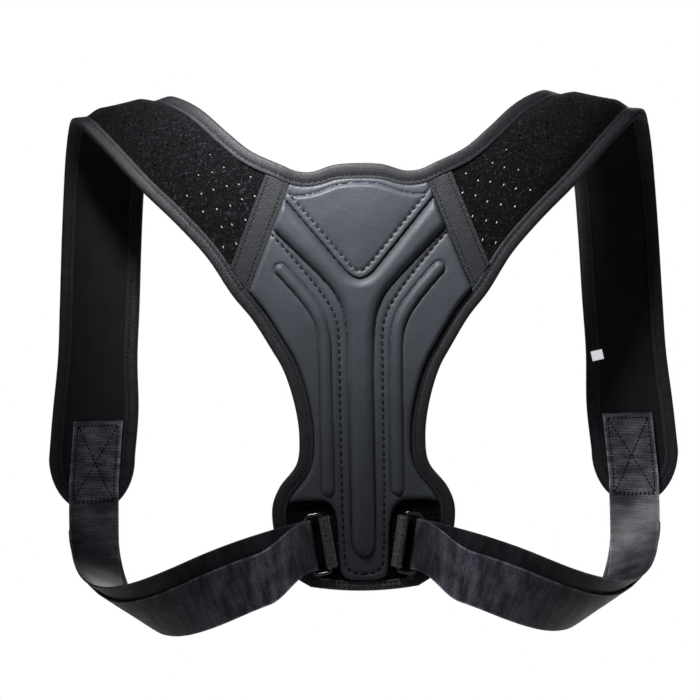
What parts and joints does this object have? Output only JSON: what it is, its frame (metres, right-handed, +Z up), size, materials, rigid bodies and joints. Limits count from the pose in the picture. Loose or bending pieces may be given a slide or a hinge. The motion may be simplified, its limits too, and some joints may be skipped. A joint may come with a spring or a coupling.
{
  "type": "posture corrector",
  "caption": "Worn back brace: hourglass back panel with a Y-ribbed pad, padded shoulder straps arching forward, and webbing running under the arms to wire rings on the panel.",
  "frame": {"origin": "midway between the wearer's shoulders, at the height of the straps' undersides where they cross the shoulder tops, half way from the panel to the front straps", "axes": "+X to the wearer's right, +Y from the back panel toward the chest, +Z up toward the neck"},
  "size_m": [0.477, 0.1216, 0.3908],
  "materials": {
    "loop_fabric": "perforated brushed loop fabric over thin foam, near black",
    "pad_leather": "embossed faux leather over foam, fine grain, semi matt charcoal",
    "lining_cloth": "smooth matt lining, black",
    "binding_tape": "ribbed woven edge binding, dark grey",
    "seam_tape": "ribbed grosgrain tape, dark grey",
    "webbing": "woven nylon webbing with a silky sheen, black",
    "tab_webbing": "narrow ribbed webbing loop, dark grey",
    "ring_metal": "gloss black painted wire",
    "label_cloth": "blank white woven label"
  },
  "bodies": {
    "root": {"back_panel": "loop_fabric", "back_pad": "pad_leather", "hem_binding": "binding_tape", "shoulder_strap_right": "loop_fabric", "shoulder_strap_left": "loop_fabric", "strap_lining_right": "lining_cloth", "strap_lining_left": "lining_cloth", "edge_binding_right": "binding_tape", "edge_binding_left": "binding_tape", "side_binding_right": "binding_tape", "side_binding_left": "binding_tape", "seam_tape_right": "seam_tape", "seam_tape_left": "seam_tape", "webbing_right": "webbing", "webbing_left": "webbing", "ring_right": "ring_metal", "ring_left": "ring_metal", "ring_tab_right": "tab_webbing", "ring_tab_left": "tab_webbing", "label": "label_cloth"}
  },
  "joints": []
}
